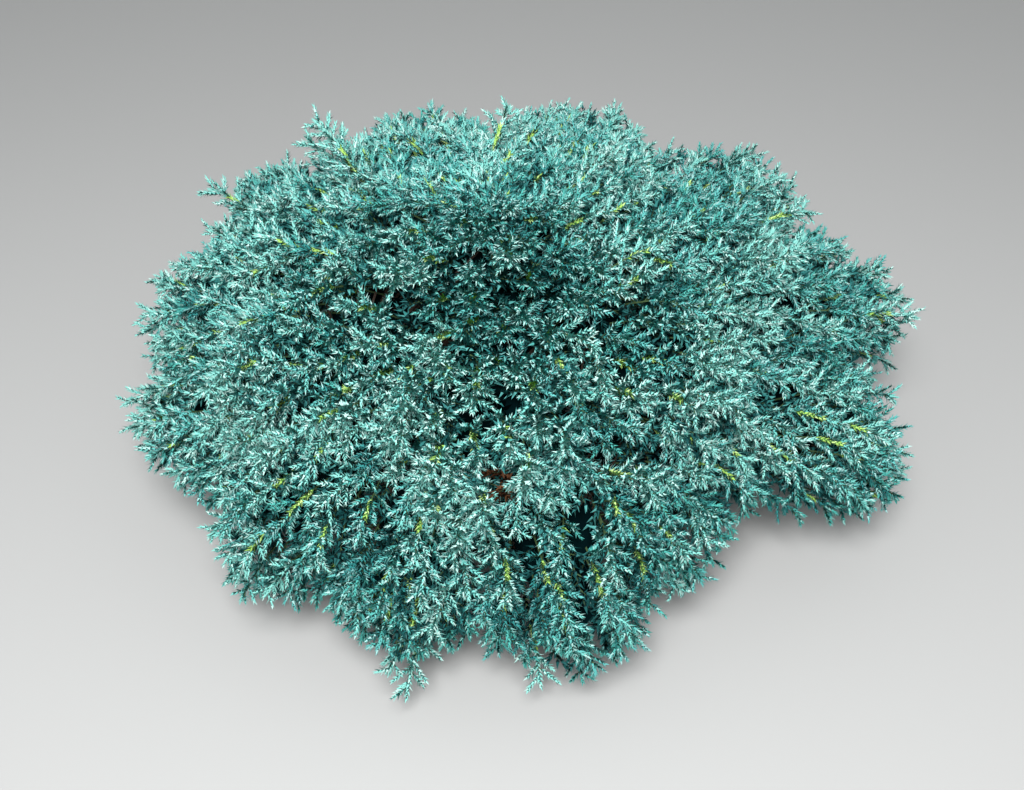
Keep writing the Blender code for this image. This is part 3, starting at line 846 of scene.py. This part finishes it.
def side_twigs(shoots):
    """A three-sided spike along each side shoot."""
    side = shoots.kind == SIDE
    start, end, radius = shoots.start[side], shoots.end[side], shoots.radius[side][:, None]
    away, other = across_of(unit(end - start))
    angles = np.arange(TWIG_SIDES) * math.tau / TWIG_SIDES
    foot = [start + (away * math.cos(t) + other * math.sin(t)) * radius for t in angles]
    corners = np.stack([*foot, end], 1)
    faces = np.array([[0, 1, 3], [1, 2, 3], [2, 0, 3]])
    index = (np.arange(len(start))[:, None, None] * 4 + faces[None]).reshape(-1, 3)
    return corners.reshape(-1, 3), index


def leader_twigs(shoots):
    """A tapering tube along each leader."""
    main = shoots.kind == LEADER
    start, end, bow = shoots.start[main], shoots.end[main], shoots.bow[main]
    steps = np.linspace(0, 1, len(LEADER_TAPER))
    paths = np.stack([curve_at(start, end, bow, np.full(len(start), t))[0] for t in steps], 1)
    return tubes(paths, shoots.radius[main][:, None] * LEADER_TAPER, TWIG_SIDES)


def older_twigs(sprays):
    """A sagging twig from the stem of each spray's mass to the spray's root."""
    leaving = []
    for spray in sprays:
        mass = spray.mass
        reach = (mass.half[0] - CORE_DEPTH) * STEM_SHARE
        along = (spray.root - mass.centre) @ mass.axis - TWIG_SETBACK
        leaving.append(mass.centre + mass.axis * np.clip(along, 0, reach))
    leaving = np.array(leaving)
    roots = np.array([spray.root for spray in sprays])
    t = np.linspace(0, 1, len(TWIG_RADII))[None, :, None]
    sag = -UP * TWIG_SAG
    paths = leaving[:, None] * (1 - t) + roots[:, None] * t + sag * 4 * t * (1 - t)
    return tubes(paths, np.tile(TWIG_RADII, (len(sprays), 1)), TWIG_SIDES)


# Limbs


def trunk_centre(height):
    """The middle of the trunk at a height."""
    share = max(0.0, height - LEAN_START) / TRUNK_HEIGHT
    return TRUNK_LEAN * share**LEAN_CURVE + UP * height


def trunk_path():
    """Points and radii up the trunk."""
    height = np.linspace(0, TRUNK_HEIGHT, TRUNK_RINGS)
    path = np.array([trunk_centre(h) for h in height])
    taper = TRUNK_FOOT_RADIUS + (TRUNK_TIP_RADIUS - TRUNK_FOOT_RADIUS) * height / TRUNK_HEIGHT
    return path, taper + FLARE * np.clip(1 - height / FLARE_HEIGHT, 0, 1) ** 2


def bough_tip(mass):
    """Where a bough ends, just off the core of its mass on the side of the trunk."""
    back = unit(trunk_centre(mass.fork_height) - mass.centre)
    parts = np.array([back @ mass.axis, back @ mass.side, back @ mass.up]) / (mass.half - CORE_DEPTH)
    return on_envelope(mass, unit(parts), CORE_DEPTH) + back * TIP_BACK


def bough_path(mass):
    """Points and radii along a bough: one bend from the middle of the trunk, and a straight end."""
    start = trunk_centre(mass.fork_height)
    tip = bough_tip(mass)
    arriving = unit(mass.centre - tip)
    if mass.tier is TOP:
        start = start - UP * TOP_SEAT
        leaving = UP
    else:
        leaving = unit(radial(mass.azimuth) + UP * BOUGH_RISE)
    bend_end = tip - arriving * STRAIGHT_END
    pull = np.linalg.norm(bend_end - start) * BOUGH_PULL
    near, far = start + leaving * pull, bend_end - arriving * pull
    t = np.linspace(0, 1, BOUGH_RINGS - 1)[:, None]
    bend = (
        start * (1 - t) ** 3
        + near * 3 * t * (1 - t) ** 2
        + far * 3 * t * t * (1 - t)
        + bend_end * t**3
    )
    radii = mass.tier.bough_radius * np.linspace(1, BOUGH_TIP_SHARE, BOUGH_RINGS)
    return np.vstack([bend, tip]), radii


def bark_tube(name, path, radii, sides, slots, flared=False):
    """A limb with ridges and flakes of bark in its mesh, and root lobes at the foot of the trunk."""
    vertices, faces = tubes(path[None], radii[None], sides)
    points = len(path)
    ring = vertices[: points * sides].reshape(points, sides, 3)
    fineness = (RIDGE_FINENESS, RIDGE_FINENESS, RIDGE_FINENESS_ALONG)
    for i in range(points):
        for j in range(sides):
            spot = Vector(ring[i, j])
            away = ring[i, j] - path[i]
            ridge = noise.noise(Vector([x * fine for x, fine in zip(spot, fineness)]))
            flake = noise.noise(spot * FLAKE_FINENESS)
            swollen = 1 + BARK_RELIEF * (ridge + FLAKE_SHARE * flake)
            if flared:
                low_share = max(0.0, 1 - path[i, 2] / FLARE_HEIGHT)
                lobes = math.cos(FLARE_LOBES * math.atan2(away[1], away[0]))
                swollen += FLARE_DEPTH * low_share * lobes
            ring[i, j] = path[i] + away * swollen
    vertices[: points * sides] = ring.reshape(-1, 3)
    return mesh_object(name, vertices, faces, slots, smooth=True)


# Materials


def plain(name, colour, roughness=0.68, specular=0.10):
    """A material of one colour."""
    made = bpy.data.materials.new(name)
    made.use_nodes = True
    shader = made.node_tree.nodes["Principled BSDF"]
    shader.inputs["Base Color"].default_value = (*colour, 1)
    shader.inputs["Roughness"].default_value = roughness
    shader.inputs["Specular IOR Level"].default_value = specular
    return made


def bark_material():
    """Dark and light brown grain that runs up the plant, with a fine bump."""
    made = bpy.data.materials.new("juniper_bark")
    made.use_nodes = True
    tree = made.node_tree
    shader = tree.nodes["Principled BSDF"]
    shader.inputs["Roughness"].default_value = 0.88
    shader.inputs["Specular IOR Level"].default_value = 0.15
    coords = tree.nodes.new("ShaderNodeTexCoord")
    stretch = tree.nodes.new("ShaderNodeMapping")
    stretch.inputs["Scale"].default_value = (1.0, 1.0, 0.22)
    grain = tree.nodes.new("ShaderNodeTexNoise")
    grain.inputs["Scale"].default_value = 240
    grain.inputs["Detail"].default_value = 6
    ramp = tree.nodes.new("ShaderNodeValToRGB")
    ramp.color_ramp.elements[0].position = 0.34
    ramp.color_ramp.elements[0].color = (0.045, 0.024, 0.015, 1)
    ramp.color_ramp.elements[1].position = 0.68
    ramp.color_ramp.elements[1].color = (0.21, 0.13, 0.085, 1)
    bump = tree.nodes.new("ShaderNodeBump")
    bump.inputs["Strength"].default_value = 0.6
    bump.inputs["Distance"].default_value = 0.0012
    link = tree.links.new
    link(coords.outputs["Object"], stretch.inputs["Vector"])
    link(stretch.outputs["Vector"], grain.inputs["Vector"])
    link(grain.outputs["Fac"], ramp.inputs["Fac"])
    link(ramp.outputs["Color"], shader.inputs["Base Color"])
    link(grain.outputs["Fac"], bump.inputs["Height"])
    link(bump.outputs["Normal"], shader.inputs["Normal"])
    return made


# Studio


def studio_floor():
    """A pale floor that curves up into a low wall all round."""
    bend = []
    for t in np.linspace(0, math.pi / 2, FLOOR_BEND_POINTS):
        bend.append((FLOOR_FLAT + FLOOR_BEND * math.sin(t), FLOOR_BEND - FLOOR_BEND * math.cos(t)))
    profile = [(0.0, 0.0), (FLOOR_MIDDLE, 0.0), *bend, WALL_TOP]
    shape = bmesh.new()
    verts = [shape.verts.new((r, 0, z)) for r, z in profile]
    edges = [shape.edges.new(pair) for pair in zip(verts, verts[1:])]
    turn = {"axis": (0, 0, 1), "cent": (0, 0, 0), "steps": FLOOR_STEPS, "angle": math.tau}
    bmesh.ops.spin(shape, geom=verts + edges, **turn)
    bmesh.ops.remove_doubles(shape, verts=shape.verts, dist=FLOOR_WELD)
    mesh = bpy.data.meshes.new("floor")
    shape.to_mesh(mesh)
    shape.free()
    mesh.shade_smooth()
    mesh.materials.append(plain("floor_paint", FLOOR_COLOUR, roughness=0.8))
    floor = bpy.data.objects.new("floor", mesh)
    bpy.context.scene.collection.objects.link(floor)
    return floor


def area_light(name, place, size, power, colour=(1, 1, 1)):
    """A round lamp that points at the crown."""
    data = bpy.data.lights.new(name, "AREA")
    data.shape = "DISK"
    data.size = size
    data.energy = power
    data.color = colour
    lamp = bpy.data.objects.new(name, data)
    lamp.location = place
    lamp.rotation_euler = (Vector(LIT_SPOT) - Vector(place)).to_track_quat("-Z", "Y").to_euler()
    bpy.context.scene.collection.objects.link(lamp)


def even_sky():
    """Even light from all round."""
    world = bpy.data.worlds.new("studio")
    world.use_nodes = True
    background = world.node_tree.nodes["Background"]
    background.inputs["Color"].default_value = SKY_COLOUR
    background.inputs["Strength"].default_value = SKY_STRENGTH
    bpy.context.scene.world = world


def front_camera():
    """The scene's camera, above the front of the crown."""
    lens = bpy.data.cameras.new("camera")
    lens.lens = FOCAL_LENGTH_MM
    lens.sensor_width = SENSOR_WIDTH_MM
    camera = bpy.data.objects.new("camera", lens)
    back = Vector((0, -math.cos(ELEVATION), math.sin(ELEVATION)))
    camera.location = TARGET + back * DISTANCE
    camera.rotation_euler = (-back).to_track_quat("-Z", "Y").to_euler()
    bpy.context.scene.collection.objects.link(camera)
    bpy.context.scene.camera = camera


# Build: needles, from the outside in
masses = lay_out_masses()
sprays = lay_out_sprays(masses, OUTER, leading=leading_sprays(masses))
shoots, needles = grow_layer(sprays, SIDE_SHOOTS, WHORL_STEP)
pieces = deal("needles", TONES, sprays, shoots, needles, outer_tones(sprays, shoots, needles))

inner_sprays = lay_out_sprays(masses, INNER)
inner_shoots, inner_needles = grow_layer(
    inner_sprays, INNER_SIDE_SHOOTS, INNER_WHORL_STEP, INNER_NEEDLE_SCALE
)
inner_tone = inner_tones(inner_sprays, inner_shoots, inner_needles)
pieces += deal("inner", INNER_TONES, inner_sprays, inner_shoots, inner_needles, inner_tone)

# near-black painted shade for the blades and balls in each mass's heart
dark = plain("heart_painted_shade", HEART_SHADE_COLOUR, roughness=0.9, specular=0.0)
blades = heart_blades(lay_out_sprays(masses, HEART))
blade_piece = mesh_object("inner_blades", *blades, [dark])
pieces.append(blade_piece)
balls = join(*[heart_ball(mass, i) for i, mass in enumerate(masses)])
core_piece = mesh_object("inner_cores", *balls, [dark])
pieces.append(core_piece)

# Twigs under the needles, and older ones from each stem to its sprays
twigs = [make(layer) for layer in (shoots, inner_shoots) for make in (side_twigs, leader_twigs)]
young_wood = plain("twig_green", TWIG_GREEN, roughness=0.7)
shoots_piece = mesh_object("shoot_twigs", *join(*twigs), [young_wood])
old_wood = plain("twig_brown", TWIG_BROWN, roughness=0.8)
twigs_piece = mesh_object("older_twigs", *older_twigs(sprays + inner_sprays), [old_wood])

# Limbs
bark = bark_material()
trunk_piece = bark_tube("bark_trunk", *trunk_path(), TRUNK_SIDES, [bark], flared=True)
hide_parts("trunk")
bough_pieces = []
for mass in masses:
    name = mass.name.replace("foliage", "bough")
    piece = bark_tube("bark_" + name, *bough_path(mass), BOUGH_SIDES, [bark])
    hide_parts(name)
    bough_pieces.append(piece)

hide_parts(*[m.name for m in masses])
for piece in [*pieces, shoots_piece, twigs_piece, trunk_piece, *bough_pieces]:
    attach(piece, "root")

# Floor, light and camera
studio_floor()
area_light("key", place=(-0.12, -2.0, 2.7), size=1.3, power=165)
area_light("fill", place=(0.6, -2.8, 1.9), size=2.0, power=10, colour=(0.90, 0.96, 1.0))
even_sky()
bpy.context.scene.view_settings.view_transform = "Standard"
front_camera()
